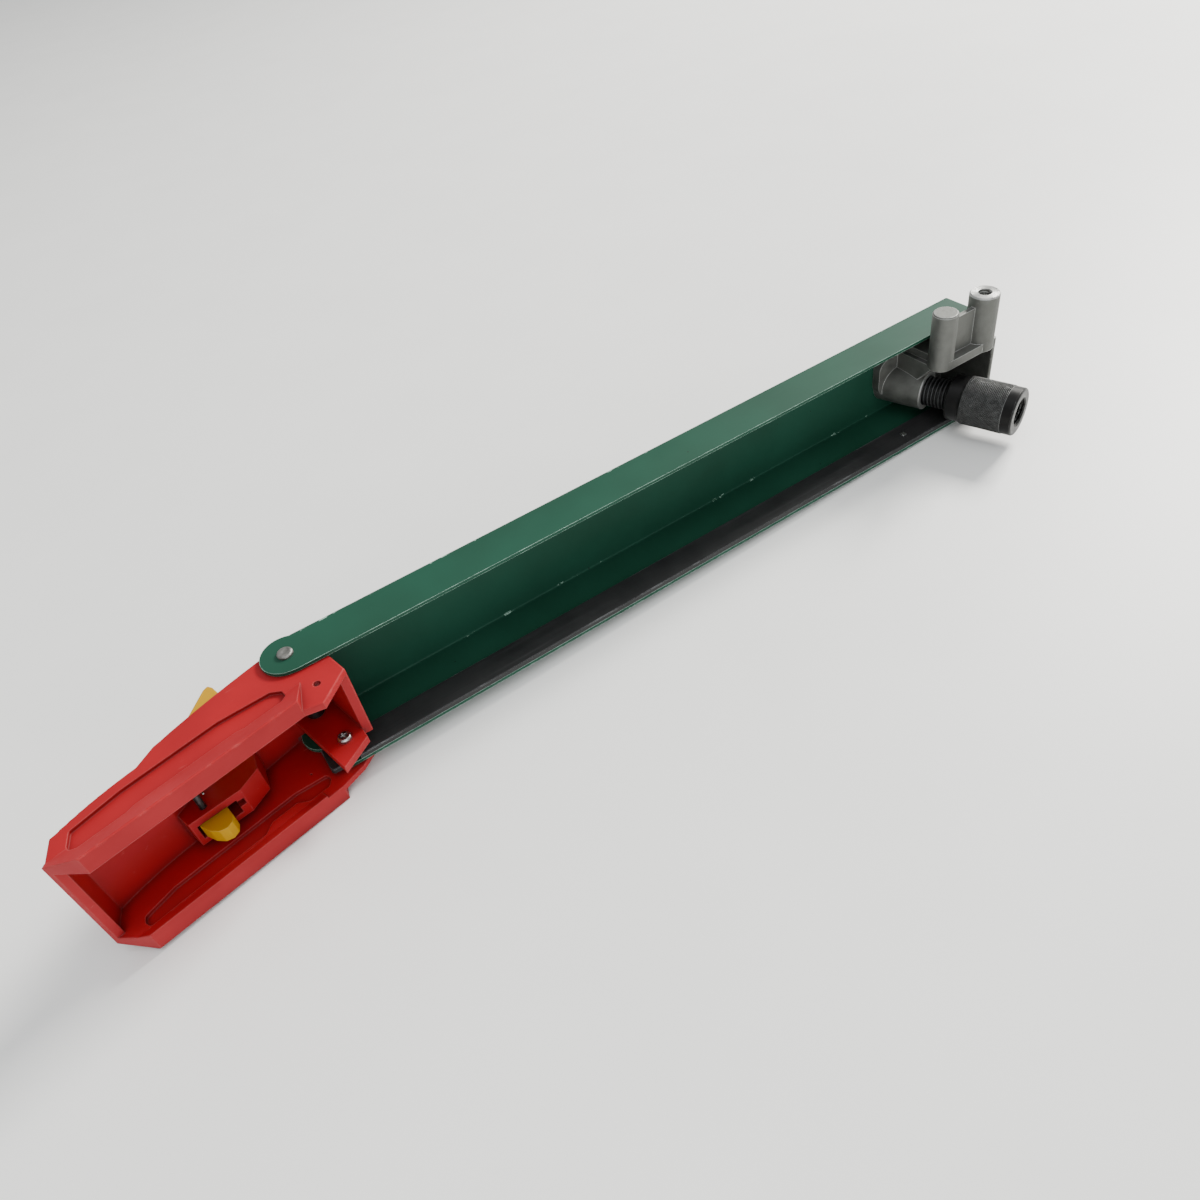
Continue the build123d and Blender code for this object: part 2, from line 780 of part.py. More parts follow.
# ---- end bracket -----------------------------------------------------------------------
pad_left = end_x - bracket_length
shelf_start = end_x - bracket_shelf_length
with BuildPart() as end_bracket:
    # Wall pad against the web.
    with BuildSketch(back_plane(-sheet)):
        with BuildLine():
            Polyline(
                (pad_left, boss_height),
                (shelf_start, bracket_foot),
                (end_x, bracket_foot),
                (end_x, bracket_shelf_high),
                (shelf_start, bracket_shelf_high),
                (pad_left, pad_corner_high),
                close=True,
            )
        make_face()
    extrude(amount=bracket_wall)
    fillet(end_bracket.edges().filter_by(Axis.Y).group_by(Axis.X)[0], pad_round)
    # End plate, standing on the flange behind the bar.
    with BuildSketch(Plane.YZ.offset(end_x - end_plate)):
        with BuildLine():
            Polyline(
                (-bracket_front, bar_high + body_gap),
                (bar_back + body_gap, bar_high + body_gap),
                (bar_back + body_gap, sheet),
                (web_in - bend_radius, sheet),
                (web_in, sheet + bend_radius),
                (web_in, bracket_shelf_high),
                (-bracket_front, bracket_shelf_high),
                close=True,
            )
        make_face()
    extrude(amount=end_plate)
    # Shelf.
    with BuildSketch(Plane.XY.offset(bracket_shelf_low)):
        with BuildLine():
            Polyline(
                (shelf_start, -bracket_front),
                (end_x, -bracket_front),
                (end_x, web_in),
                (shelf_start, web_in),
                close=True,
            )
        make_face()
    extrude(amount=bracket_shelf_high - bracket_shelf_low)
    front_corners = end_bracket.edges().filter_by(Axis.Z).group_by(Axis.Y)[0]
    fillet(front_corners, cast_round)
    # Posts and the thin web between them.
    with BuildSketch(Plane.XY.offset(bracket_shelf_low)):
        with Locations((near_post_x, -post_line)):
            Circle(near_post_radius)
        with Locations((far_post_x, -post_line)):
            Circle(far_post_radius)
    extrude(amount=post_top - bracket_shelf_low)
    chamfer(end_bracket.edges().group_by(Axis.Z)[-1], post_chamfer)
    with BuildSketch(Plane.XY.offset(bracket_shelf_low)):
        with Locations(((near_post_x + far_post_x) / 2, -post_line)):
            Rectangle(far_post_x - near_post_x, post_web)
    extrude(amount=post_web_top - bracket_shelf_low)
    # Boss for the clamp screw, tied to the shelf under the near post by a rib.
    with BuildSketch(boss_plane(0)):
        Circle(boss_radius)
    extrude(amount=-(web_in - boss_face_y) / cos(tilt) - boss_radius)
    with BuildSketch(Plane.YZ.offset(near_post_x - gusset / 2)):
        with BuildLine():
            Polyline(
                (web_in, boss_height),
                (boss_face_y + gusset_setback, boss_height),
                (boss_face_y + gusset_setback, boss_height + 0.8 * boss_radius),
                (-post_line, bracket_shelf_low + 1),
                (web_in, bracket_shelf_low + 1),
                close=True,
            )
        make_face()
    extrude(amount=gusset)
    with BuildSketch(Plane.XY.offset(-channel_height)):
        with Locations((boss_x, web_in + boss_radius * 2)):
            Rectangle(2 * bracket_length, boss_radius * 4)
    extrude(amount=3 * channel_height, mode=Mode.SUBTRACT)
    with BuildSketch(boss_plane(0)):
        Circle(screw_radius + running_gap)
    extrude(amount=-2 * bottom_flange, mode=Mode.SUBTRACT)
    with BuildSketch(Plane.XY.offset(post_top)):
        with Locations((far_post_x, -post_line)):
            Circle(post_hole_radius)
    extrude(amount=-post_hole_depth, mode=Mode.SUBTRACT)
    with BuildSketch(back_plane(0)):
        with Locations(*mount_places):
            Circle(mount_screw_radius)
    extrude(amount=sheet + bracket_wall, mode=Mode.SUBTRACT)
save(end_bracket, "end_bracket")

with BuildPart() as bracket_screws:
    with BuildSketch(back_plane(mount_washer)):
        with Locations(*mount_places):
            Circle(mount_screw_radius)
    extrude(amount=mount_screw_length)
    with BuildSketch(back_plane(mount_washer)):
        with Locations(*mount_places):
            Circle(mount_head_radius)
    extrude(amount=-mount_head_height)
    fillet(bracket_screws.edges().group_by(Axis.Y)[-1], mount_head_height * 0.5)
    with BuildSketch(back_plane(mount_washer + mount_head_height)):
        with Locations(*mount_places):
            RegularPolygon(mount_hex_flats / 2, 6, major_radius=False)
    extrude(amount=mount_head_height * 0.6, mode=Mode.SUBTRACT)
save(bracket_screws, "bracket_screws")

with BuildPart() as bracket_washers:
    with BuildSketch(back_plane(0)):
        with Locations(*mount_places):
            Circle(mount_washer_radius)
        with Locations(*mount_places):
            Circle(mount_screw_radius + seat_gap, mode=Mode.SUBTRACT)
    extrude(amount=-mount_washer)
save(bracket_washers, "bracket_washers")

# ---- clamp screw, knob and swivel pad --------------------------------------------------
# Thread crests are rings of the screw's real size and pitch, so the screw can turn and
# slide in the boss's plain bore.
boss_face = Vector(boss_x, boss_face_y, boss_height)
screw_section = Plane(
    origin=boss_face,
    x_dir=(0, 0, 1),
    z_dir=Vector(0, 0, 1).cross(axis_out),
)
screw_axis = Axis(boss_face, axis_out)
crest = screw_pitch * 0.15
thread_points = [(0, -screw_inside), (root_radius, -screw_inside)]
for turn_number in range(int((screw_inside + screw_outside - crest) / screw_pitch)):
    start = -screw_inside + crest + turn_number * screw_pitch
    thread_points.append((root_radius, start))
    thread_points.append((screw_radius, start + 0.4 * screw_pitch))
    thread_points.append((screw_radius, start + 0.4 * screw_pitch + crest))
    thread_points.append((root_radius, start + 0.8 * screw_pitch + crest))
thread_points.append((root_radius, screw_outside))
thread_points.append((shank_radius, screw_outside))
thread_points.append((shank_radius, screw_outside + shank_in_knob))
thread_points.append((0, screw_outside + shank_in_knob))
with BuildPart() as clamp_screw:
    with BuildSketch(screw_section):
        with BuildLine():
            Polyline(*thread_points, close=True)
        make_face()
    revolve(axis=screw_axis)
    with BuildSketch(boss_plane(-screw_inside)):
        Circle(pad_stem_radius + running_gap)
    extrude(amount=pad_stem_length, mode=Mode.SUBTRACT)
save(clamp_screw, "clamp_screw")

with BuildPart() as swivel_pad:
    with BuildSketch(boss_plane(-screw_inside - ear_gap - pad_thickness)):
        Circle(pad_radius)
    extrude(amount=pad_thickness)
    chamfer(swivel_pad.edges().sort_by_distance(boss_face)[-1], 0.6)
    with BuildSketch(boss_plane(-screw_inside - ear_gap)):
        Circle(pad_stem_radius)
    extrude(amount=pad_stem_length)
save(swivel_pad, "swivel_pad")

grub_place = boss_face + axis_out * (screw_outside + collar_length / 2)
with BuildPart() as knurled_knob:
    with BuildSketch(screw_section):
        with BuildLine():
            Polyline(
                (0, screw_outside),
                (collar_radius - knob_chamfer, screw_outside),
                (collar_radius, screw_outside + knob_chamfer),
                (collar_radius, screw_outside + collar_length),
                (knob_radius, screw_outside + collar_length + knob_chamfer),
                (knob_radius, knob_end - band_length),
                (band_radius, knob_end - band_length + 0.3),
                (band_radius, knob_end - knob_chamfer),
                (band_radius - knob_chamfer, knob_end),
                (0, knob_end),
                close=True,
            )
        make_face()
    revolve(axis=screw_axis)
    with BuildSketch(boss_plane(screw_outside)):
        Circle(shank_radius)
    extrude(amount=shank_in_knob, mode=Mode.SUBTRACT)
    with BuildSketch(boss_plane(knob_end)):
        Circle(socket_radius)
    extrude(amount=-socket_depth, mode=Mode.SUBTRACT)
    with BuildSketch(Plane.XY.offset(boss_height - collar_radius)):
        with Locations((grub_place.X, grub_place.Y)):
            Circle(grub_radius)
    extrude(amount=collar_radius - shank_radius, mode=Mode.SUBTRACT)
save(knurled_knob, "knurled_knob")

with BuildPart() as knob_grub_screw:
    with BuildSketch(Plane.XY.offset(boss_height - shank_radius - grub_seat)):
        with Locations((grub_place.X, grub_place.Y)):
            Circle(grub_radius)
    extrude(amount=-grub_length + grub_seat)
    with BuildSketch(Plane.XY.offset(boss_height - shank_radius - grub_length)):
        with Locations((grub_place.X, grub_place.Y)):
            RegularPolygon(grub_radius / 2, 6)
    extrude(amount=grub_length / 2, mode=Mode.SUBTRACT)
save(knob_grub_screw, "knob_grub_screw")
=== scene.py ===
# %% [markdown]
# # Guide arm of a tile cutter
# The arm is a long folded steel channel. A red lever handle swings on a rivet at one end
# and pulls a flat black bar along the channel. A grey casting closes the other end, and a
# big black screw with a knurled knob runs through it.
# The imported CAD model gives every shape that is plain: it is loaded first and stays as
# it is. This lesson adds the finishes, and the shapes that CAD keeps simple: the
# helical thread, the knurling and the spring.

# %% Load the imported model
import json
import math

import bmesh
import bpy
from mathutils import Matrix, Vector


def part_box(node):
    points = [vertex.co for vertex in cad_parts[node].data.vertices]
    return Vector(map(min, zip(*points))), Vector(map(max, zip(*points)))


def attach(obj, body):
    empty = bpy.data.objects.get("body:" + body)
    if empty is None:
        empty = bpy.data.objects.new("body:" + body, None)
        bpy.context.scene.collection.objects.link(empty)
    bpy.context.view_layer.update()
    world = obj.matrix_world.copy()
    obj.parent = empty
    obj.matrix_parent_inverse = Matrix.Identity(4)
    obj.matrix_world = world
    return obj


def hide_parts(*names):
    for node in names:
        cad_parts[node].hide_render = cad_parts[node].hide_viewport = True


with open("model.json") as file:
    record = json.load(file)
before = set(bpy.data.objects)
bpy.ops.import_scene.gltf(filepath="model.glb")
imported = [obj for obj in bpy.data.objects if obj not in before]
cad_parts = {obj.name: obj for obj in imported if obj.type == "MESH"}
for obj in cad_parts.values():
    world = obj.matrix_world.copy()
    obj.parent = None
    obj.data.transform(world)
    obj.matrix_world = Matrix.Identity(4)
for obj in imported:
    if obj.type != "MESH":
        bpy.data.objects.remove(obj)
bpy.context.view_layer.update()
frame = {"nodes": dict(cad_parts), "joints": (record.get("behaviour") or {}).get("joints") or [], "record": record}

# %% [markdown]
# ## Places
# Sizes are in millimetres, as on a drawing, and are turned to metres where a mesh needs
# them. The clamp screw's axis comes from the joint that turns it, so the thread, the
# knob and the machined rim of the casting all share one axis.

# %% Units and the clamp screw's axis
MM = 0.001
screw_to = 17.0  # thread from the boss's face to the knob, mm
knob_to = 62.0  # knob's end face from the boss's face, mm
joints = {joint["name"]: joint for joint in frame["joints"]}
boss_face = Vector(joints["clamp_turn"]["pos_m"])
boss_out = -Vector(joints["clamp_turn"]["axis"])
boss_turn = boss_out.to_track_quat("Z", "Y")
boss_place = Matrix.Translation(boss_face) @ boss_turn.to_matrix().to_4x4()
mounts = {mount["name"]: mount for mount in frame["record"]["mounts"]}
post_axis = Vector(mounts["post_thread"]["pos_m"])
post_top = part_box("end_bracket")[1].z
print("clamp screw axis", [round(c, 3) for c in boss_out])

# %% [markdown]
# ## Colours and nodes
# Paint and plastic charts give colours as sRGB hex values, and shaders want linear
# light, so one function turns the first into the second. A second small function
# adds any node with its settings and links, which keeps each finish a short list,
# and a third starts an empty finish.

# %% Small helpers
def colour(code):
    """Linear colour with full alpha from an sRGB hex code."""
    parts = [int(code[i : i + 2], 16) / 255 for i in (1, 3, 5)]
    linear = [p / 12.92 if p <= 0.04045 else ((p + 0.055) / 1.055) ** 2.4 for p in parts]
    return (*linear, 1.0)


def add(tree, kind, inputs=None, **settings):
    """Add a node. Each input is a value or another node's output."""
    node = tree.nodes.new(kind)
    for name, value in settings.items():
        setattr(node, name, value)
    for name, value in (inputs or {}).items():
        if isinstance(value, bpy.types.NodeSocket):
            tree.links.new(value, node.inputs[name])
        else:
            node.inputs[name].default_value = value
    return node


def new_finish(name):
    """An empty material: its node tree, its Principled shader and its object coordinates."""
    material = bpy.data.materials.new(name)
    material.use_nodes = True
    tree = material.node_tree
    shader = tree.nodes["Principled BSDF"]
    place = add(tree, "ShaderNodeTexCoord").outputs["Object"]
    return material, tree, shader, place


print("white is", colour("#ffffff"))

# %% [markdown]
# ## What every finish shares
# Real edges are never quite sharp: a fold, a mould or a file leaves a small radius, and
# paint thins there. The Bevel node gives the normal that such a radius would have, and
# the angle between it and the true normal marks the edges, inner folds and corners as
# well as outer edges. The pale colour put on that mask is partly wear and partly a
# painted highlight, most of all in the folds and corners, where paint does not wear.
# Patterns are sized from millimetres: a noise whose features are `size` across needs a
# scale of one over that size in metres.

# %% Pattern helpers
def per_metre(size):
    """Texture scale for features this many millimetres across."""
    return 1.0 / (size * MM)


def edge_wear_and_highlight(tree, place, radius, patch, level):
    """Rounded normal, and a mask of the edges that comes and goes along them, for wear and a painted highlight."""
    rounded = add(tree, "ShaderNodeBevel", {"Radius": radius * MM}, samples=6)
    true_normal = add(tree, "ShaderNodeNewGeometry").outputs["True Normal"]
    match = add(
        tree,
        "ShaderNodeVectorMath",
        {0: rounded.outputs["Normal"], 1: true_normal},
        operation="DOT_PRODUCT",
    )
    patches = add(
        tree,
        "ShaderNodeTexNoise",
        {"Vector": place, "Scale": per_metre(patch), "Detail": 4.0, "Roughness": 0.65},
    )
    spread = add(
        tree,
        "ShaderNodeMapRange",
        {"Value": patches.outputs["Fac"], 1: 0.35, 2: 0.7, 3: 0.999, 4: 0.999 - level},
    )
    wear_and_highlight = add(
        tree,
        "ShaderNodeMath",
        {0: match.outputs["Value"], 1: spread.outputs["Result"]},
        operation="LESS_THAN",
    )
    return rounded.outputs["Normal"], wear_and_highlight.outputs["Value"]


def noise(tree, place, size, detail=3.0, stretch=(1.0, 1.0, 1.0)):
    """Noise between 0 and 1 with features this many millimetres across."""
    mapped = add(tree, "ShaderNodeMapping", {"Vector": place, "Scale": stretch})
    return add(
        tree,
        "ShaderNodeTexNoise",
        {"Vector": mapped.outputs["Vector"], "Scale": per_metre(size), "Detail": detail},
    ).outputs["Fac"]


def ramp(tree, value, low, high, start, end):
    """Value between low and high carried to start and end, clamped."""
    return add(
        tree, "ShaderNodeMapRange", {"Value": value, 1: low, 2: high, 3: start, 4: end}
    ).outputs["Result"]


def blend(tree, share, first, second):
    """Colour between two colours."""
    mixed = add(
        tree, "ShaderNodeMix", {"Factor": share}, data_type="RGBA", clamp_factor=True
    )
    for index, value in ((6, first), (7, second)):
        if isinstance(value, bpy.types.NodeSocket):
            tree.links.new(value, mixed.inputs[index])
        else:
            mixed.inputs[index].default_value = value
    return mixed.outputs[2]


def relief(tree, height, depth, normal):
    """Normal roughened by a height pattern this many millimetres deep."""
    return add(
        tree,
        "ShaderNodeBump",
        {"Height": height, "Distance": depth * MM, "Normal": normal},
    ).outputs["Normal"]


def dress(node_names, material):
    """Give CAD nodes a finish."""
    for name in node_names:
        slots = frame["nodes"][name].data.materials
        if len(slots) == 0:
            slots.append(material)
        for index in range(len(slots)):
            slots[index] = material
    print(material.name, "on", ", ".join(node_names))


# %% [markdown]
# ## Green enamel
# The channel is mild steel sheet, folded and then sprayed with a stoved enamel. The
# sprayed film is smooth but not flat: it dries with a faint orange peel a couple of
# millimetres across. It is semi-gloss, and it dulls where it is handled. A pale line runs
# along the edges: on the cut edges, where the film is thin, it is wear, and along the
# inner fold it is a painted highlight. Small dark specks are dust and chips.

# %% Stoved enamel on folded sheet
def stoved_enamel():
    material, tree, shader, place = new_finish("stoved_enamel_on_folded_steel")
    normal, wear_and_highlight = edge_wear_and_highlight(tree, place, 0.5, 9.0, 0.14)
    cloud = noise(tree, place, 60.0)
    paint = blend(tree, ramp(tree, cloud, 0.3, 0.7, 0, 1), colour("#163f2f"), colour("#1a4837"))
    specks = add(
        tree, "ShaderNodeTexVoronoi", {"Vector": place, "Scale": per_metre(16.0)}
    ).outputs["Distance"]
    paint = blend(tree, ramp(tree, specks, 0.02, 0.035, 1, 0), paint, colour("#132019"))
    # Pale line on the edges: worn paint on the cut edges, painted highlight along the inner fold.
    paint = blend(tree, wear_and_highlight, paint, colour("#9dbfae"))
    smear = noise(tree, place, 25.0, 5.0, (0.4, 1.0, 1.0))
    peel = noise(tree, place, 2.2, 2.0)
    tree.links.new(paint, shader.inputs["Base Color"])
    tree.links.new(ramp(tree, smear, 0.3, 0.75, 0.48, 0.62), shader.inputs["Roughness"])
    tree.links.new(relief(tree, peel, 0.02, normal), shader.inputs["Normal"])
    shader.inputs["IOR"].default_value = 1.5
    shader.inputs["Specular IOR Level"].default_value = 0.2
    return material


dress(["channel"], stoved_enamel())

# %% [markdown]
# ## Red and yellow mouldings
# Handle and latch are injection moulded in a coloured nylon. The mould was spark
# eroded, so the skin has a fine even grain and a soft sheen rather than a gloss. Handling
# leaves short pale scuffs, and flow in the mould leaves slow changes of shade. An Ambient
# Occlusion node darkens the hollows: this is painted shade, and it stands also for the
# dust and oil that settle there.

# %% Injection-moulded nylon
def moulded_nylon(name, body, shade, scuff_and_edge_highlight, hollow_shade_and_grime, scuffs=0.35):
    material, tree, shader, place = new_finish(name)
    normal, wear_and_highlight = edge_wear_and_highlight(tree, place, 0.8, 6.0, 0.05)
    flow = noise(tree, place, 35.0, 4.0)
    skin = blend(tree, ramp(tree, flow, 0.3, 0.7, 0, 1), colour(body), colour(shade))
    lines = noise(tree, place, 3.0, 6.0, (0.25, 1.6, 1.0))
    where = noise(tree, place, 22.0)
    rubbed = add(
        tree,
        "ShaderNodeMath",
        {0: ramp(tree, lines, 0.66, 0.74, 0, scuffs), 1: ramp(tree, where, 0.52, 0.66, 0, 1)},
        operation="MULTIPLY",
    ).outputs["Value"]
    skin = blend(tree, rubbed, skin, colour(scuff_and_edge_highlight))
    # Edges a little paler in the scuff colour: partly wear, partly a painted highlight.
    edge_wear_and_highlight_share = add(
        tree, "ShaderNodeMath", {0: wear_and_highlight, 1: 0.15}, operation="MULTIPLY"
    ).outputs["Value"]
    skin = blend(tree, edge_wear_and_highlight_share, skin, colour(scuff_and_edge_highlight))
    # Painted shade: the Ambient Occlusion node darkens the hollows, standing also for the dust and oil in them.
    hollow = add(tree, "ShaderNodeAmbientOcclusion", {"Distance": 7 * MM}, samples=8)
    hollow_shade_and_dirt = ramp(tree, hollow.outputs["AO"], 0.45, 0.95, 0.6, 0.0)
    skin = blend(tree, hollow_shade_and_dirt, skin, colour(hollow_shade_and_grime))
    grain = noise(tree, place, 0.9, 2.0)
    tree.links.new(skin, shader.inputs["Base Color"])
    tree.links.new(ramp(tree, flow, 0.3, 0.7, 0.48, 0.60), shader.inputs["Roughness"])
    tree.links.new(relief(tree, grain, 0.02, normal), shader.inputs["Normal"])
    shader.inputs["IOR"].default_value = 1.5
    shader.inputs["Specular IOR Level"].default_value = 0.25
    shader.inputs["Subsurface Weight"].default_value = 0.06
    shader.inputs["Subsurface Radius"].default_value = (1.2 * MM, 0.4 * MM, 0.3 * MM)
    shader.inputs["Subsurface Scale"].default_value = 1.0
    return material


dress(["handle_shell"], moulded_nylon("moulded_red_nylon", "#a0151c", "#931118", "#d07f7a", "#560f13"))
dress(["latch_lever"], moulded_nylon("moulded_yellow_nylon", "#c49404", "#b78903", "#e6d38a", "#7a5c10"))

# %% [markdown]
# ## Black paint on the pull bar
# The bar is drawn flat steel with a satin black paint. It slides, so its wear is drawn
# out along its length, and the paint is rubbed through to grey along the front edge.

# %% Satin black paint, rubbed lengthwise
def rubbed_black_paint():
    material, tree, shader, place = new_finish("satin_black_paint_on_drawn_bar")
    normal, wear_and_highlight = edge_wear_and_highlight(tree, place, 0.5, 30.0, 0.16)
    strokes = noise(tree, place, 1.6, 5.0, (0.02, 1.0, 1.0))
    dust = noise(tree, place, 18.0, 6.0)
    paint = blend(tree, ramp(tree, dust, 0.35, 0.75, 0, 1), colour("#141415"), colour("#212121"))
    paint = blend(tree, ramp(tree, strokes, 0.6, 0.8, 0, 0.35), paint, colour("#4a4b4c"))
    # Grey edges: rubbed paint, and a painted highlight in the inner corners.
    paint = blend(tree, wear_and_highlight, paint, colour("#6a6c6d"))
    tree.links.new(paint, shader.inputs["Base Color"])
    tree.links.new(ramp(tree, strokes, 0.3, 0.7, 0.5, 0.66), shader.inputs["Roughness"])
    tree.links.new(relief(tree, strokes, 0.02, normal), shader.inputs["Normal"])
    return material


dress(["pull_bar"], rubbed_black_paint())

# %% [markdown]
# ## Cast aluminium with machined faces
# The bracket is die cast. Its skin is dull grey, slightly mottled, with shallow pits.
# Two faces were cut on a lathe afterwards: the rim of the boss and the top of the
# far post. They are brighter, and show fine rings round their axes. The rings are
# drawn a third of a millimetre apart so that they can be seen.

# %% Die-cast skin and lathe-cut faces
def lathe_place(tree, place, centre, turn):
    """Distance from an axis and height along it, in metres."""
    local = add(
        tree,
        "ShaderNodeMapping",
        {"Vector": place, "Location": centre, "Rotation": turn},
        vector_type="TEXTURE",
    ).outputs["Vector"]
    parts = add(tree, "ShaderNodeSeparateXYZ", {"Vector": local}).outputs
    flat = add(tree, "ShaderNodeCombineXYZ", {"X": parts["X"], "Y": parts["Y"]})
    out = add(
        tree, "ShaderNodeVectorMath", {0: flat.outputs["Vector"]}, operation="LENGTH"
    ).outputs["Value"]
    return out, parts["Z"]


def cut_face(tree, place, centre, turn, reach):
    """Mask of the face at height 0 within reach of an axis, and the distance from the axis."""
    out, high = lathe_place(tree, place, centre, turn)
    near = add(tree, "ShaderNodeMath", {0: out, 1: reach * MM}, operation="LESS_THAN")
    level = add(tree, "ShaderNodeMath", {0: high, 1: -0.9 * MM}, operation="GREATER_THAN")
    both = add(
        tree,
        "ShaderNodeMath",
        {0: near.outputs["Value"], 1: level.outputs["Value"]},
        operation="MULTIPLY",
    )
    return both.outputs["Value"], out


ring_gap = 0.33


def die_cast():
    material, tree, shader, place = new_finish("die_cast_aluminium_with_lathe_cut_faces")
    normal, wear_and_highlight = edge_wear_and_highlight(tree, place, 0.7, 5.0, 0.04)
    rim, rim_out = cut_face(tree, place, boss_face, boss_turn.to_euler(), 13.2)
    seat, seat_out = cut_face(tree, place, (post_axis.x, post_axis.y, post_top), (0, 0, 0), 9.8)
    cut = add(tree, "ShaderNodeMath", {0: rim, 1: seat}, operation="MAXIMUM").outputs["Value"]
    mottle = noise(tree, place, 7.0, 6.0)
    pits = noise(tree, place, 1.8, 4.0)
    skin = blend(tree, ramp(tree, mottle, 0.3, 0.7, 0, 1), colour("#60615d"), colour("#71726e"))
    skin = blend(tree, ramp(tree, pits, 0.62, 0.72, 0, 0.3), skin, colour("#6d6e6b"))
    # Lathe-cut faces brighter, and edges paler: partly wear, partly a painted highlight.
    bright = add(tree, "ShaderNodeMath", {0: cut, 1: wear_and_highlight}, operation="MAXIMUM")
    skin = blend(tree, bright.outputs["Value"], skin, colour("#a4a5a2"))
    nearest = add(
        tree, "ShaderNodeMath", {0: rim_out, 1: seat_out}, operation="MINIMUM"
    ).outputs["Value"]
    phase = add(
        tree, "ShaderNodeMath", {0: nearest, 1: math.tau / (ring_gap * MM)}, operation="MULTIPLY"
    ).outputs["Value"]
    rings = add(tree, "ShaderNodeMath", {0: phase}, operation="SINE").outputs["Value"]
    cast = relief(tree, pits, 0.14, normal)
    turned = relief(tree, rings, 0.02, normal)
    surface = add(
        tree, "ShaderNodeMix", {"Factor": cut}, data_type="VECTOR", clamp_factor=True
    )
    tree.links.new(cast, surface.inputs[4])
    tree.links.new(turned, surface.inputs[5])
    rough = ramp(tree, mottle, 0.3, 0.7, 0.52, 0.66)
    rough = add(
        tree, "ShaderNodeMath", {0: rough, 1: ramp(tree, cut, 0, 1, 0, 0.25)}, operation="SUBTRACT"
    ).outputs["Value"]
    tree.links.new(skin, shader.inputs["Base Color"])
    tree.links.new(rough, shader.inputs["Roughness"])
    tree.links.new(surface.outputs[1], shader.inputs["Normal"])
    shader.inputs["Metallic"].default_value = 0.7
    return material


cast_finish = die_cast()
dress(["end_bracket"], cast_finish)

# %% [markdown]
# ## Steel fasteners
# Screws, washers and rivets are zinc plated and a little dulled. The bush and the pins
# are plain drawn steel that has darkened, and the spring is drawn wire. One function
# makes them all: a metal colour, a cloudy roughness and a brushed or blotched relief.

# %% Plated and drawn steel
def steel(name, light, dark, rough, size, stretch=(1.0, 1.0, 1.0), depth=0.03):
    material, tree, shader, place = new_finish(name)
    normal, wear_and_highlight = edge_wear_and_highlight(tree, place, 0.3, 4.0, 0.08)
    cloud = noise(tree, place, 2.5, 5.0)
    marks = noise(tree, place, size, 4.0, stretch)
    metal = blend(tree, ramp(tree, cloud, 0.3, 0.7, 0, 1), colour(light), colour(dark))
    # Paler edges: partly wear, partly a painted highlight.
    metal = blend(tree, ramp(tree, wear_and_highlight, 0, 1, 0, 0.4), metal, colour("#e6e6e4"))
    tree.links.new(metal, shader.inputs["Base Color"])
    tree.links.new(ramp(tree, marks, 0.3, 0.7, rough, rough + 0.15), shader.inputs["Roughness"])
    tree.links.new(relief(tree, marks, depth, normal), shader.inputs["Normal"])
    shader.inputs["Metallic"].default_value = 1.0
    return material


bright_zinc = steel("bright_zinc_plated_steel", "#c9cac8", "#9d9e9c", 0.22, 1.2)
peened_zinc = steel("peened_dull_zinc_on_steel", "#9b9a95", "#6f6e6a", 0.42, 1.6, depth=0.35)
drawn_steel = steel(
    "darkened_drawn_steel", "#5b5c5d", "#3c3d3e", 0.34, 0.8, (1.0, 1.0, 0.1)
)
spring_wire = steel("drawn_spring_wire", "#8d8f92", "#6b6d70", 0.28, 0.6)
dress(
    ["crank_screw", "crank_washer", "crank_nut", "bracket_screws", "bracket_washers", "bar_button"],
    bright_zinc,
)
dress(["pivot_pin", "bar_guide_rivet", "pivot_washer"], peened_zinc)
dress(["pivot_bush", "latch_pin", "swivel_pad"], drawn_steel)

# %% [markdown]
# ## Blackened steel
# Screw and knob are turned steel, chemically blackened. The black is thin: it has a
# brown-grey cast, it is duller in the roots and it wears to grey where fingers and the
# mating thread rub, on crests and on the end face.

# %% Chemical black that wears on the crests
def chemical_black(name, crest, root, wear):
    material, tree, shader, place = new_finish(name)
    out, high = lathe_place(tree, place, boss_face, boss_turn.to_euler())
    normal, wear_and_highlight = edge_wear_and_highlight(tree, place, 0.3, 3.0, 0.10)
    cloud = noise(tree, place, 5.0, 5.0)
    rubbed = add(
        tree,
        "ShaderNodeMath",
        {0: ramp(tree, out, root * MM, crest * MM, 0, wear), 1: ramp(tree, cloud, 0.3, 0.7, 0.4, 1)},
        operation="MULTIPLY",
    ).outputs["Value"]
    black = blend(tree, ramp(tree, cloud, 0.35, 0.7, 0, 1), colour("#0b0b0b"), colour("#121110"))
    black = blend(tree, rubbed, black, colour("#77787a"))
    face = ramp(tree, high, (knob_to - 0.4) * MM, (knob_to - 0.1) * MM, 0, 0.85)
    face = add(
        tree, "ShaderNodeMath", {0: face, 1: ramp(tree, cloud, 0.3, 0.6, 0.5, 1)}, operation="MULTIPLY"
    ).outputs["Value"]
    black = blend(tree, face, black, colour("#3c3d3d"))
    # Paler edges: partly wear, partly a painted highlight.
    black = blend(tree, ramp(tree, wear_and_highlight, 0, 1, 0, 0.35), black, colour("#8c8e8c"))
    tree.links.new(black, shader.inputs["Base Color"])
    tree.links.new(ramp(tree, cloud, 0.3, 0.7, 0.36, 0.5), shader.inputs["Roughness"])
    tree.links.new(relief(tree, noise(tree, place, 0.8), 0.02, normal), shader.inputs["Normal"])
    shader.inputs["Metallic"].default_value = 0.6
    return material


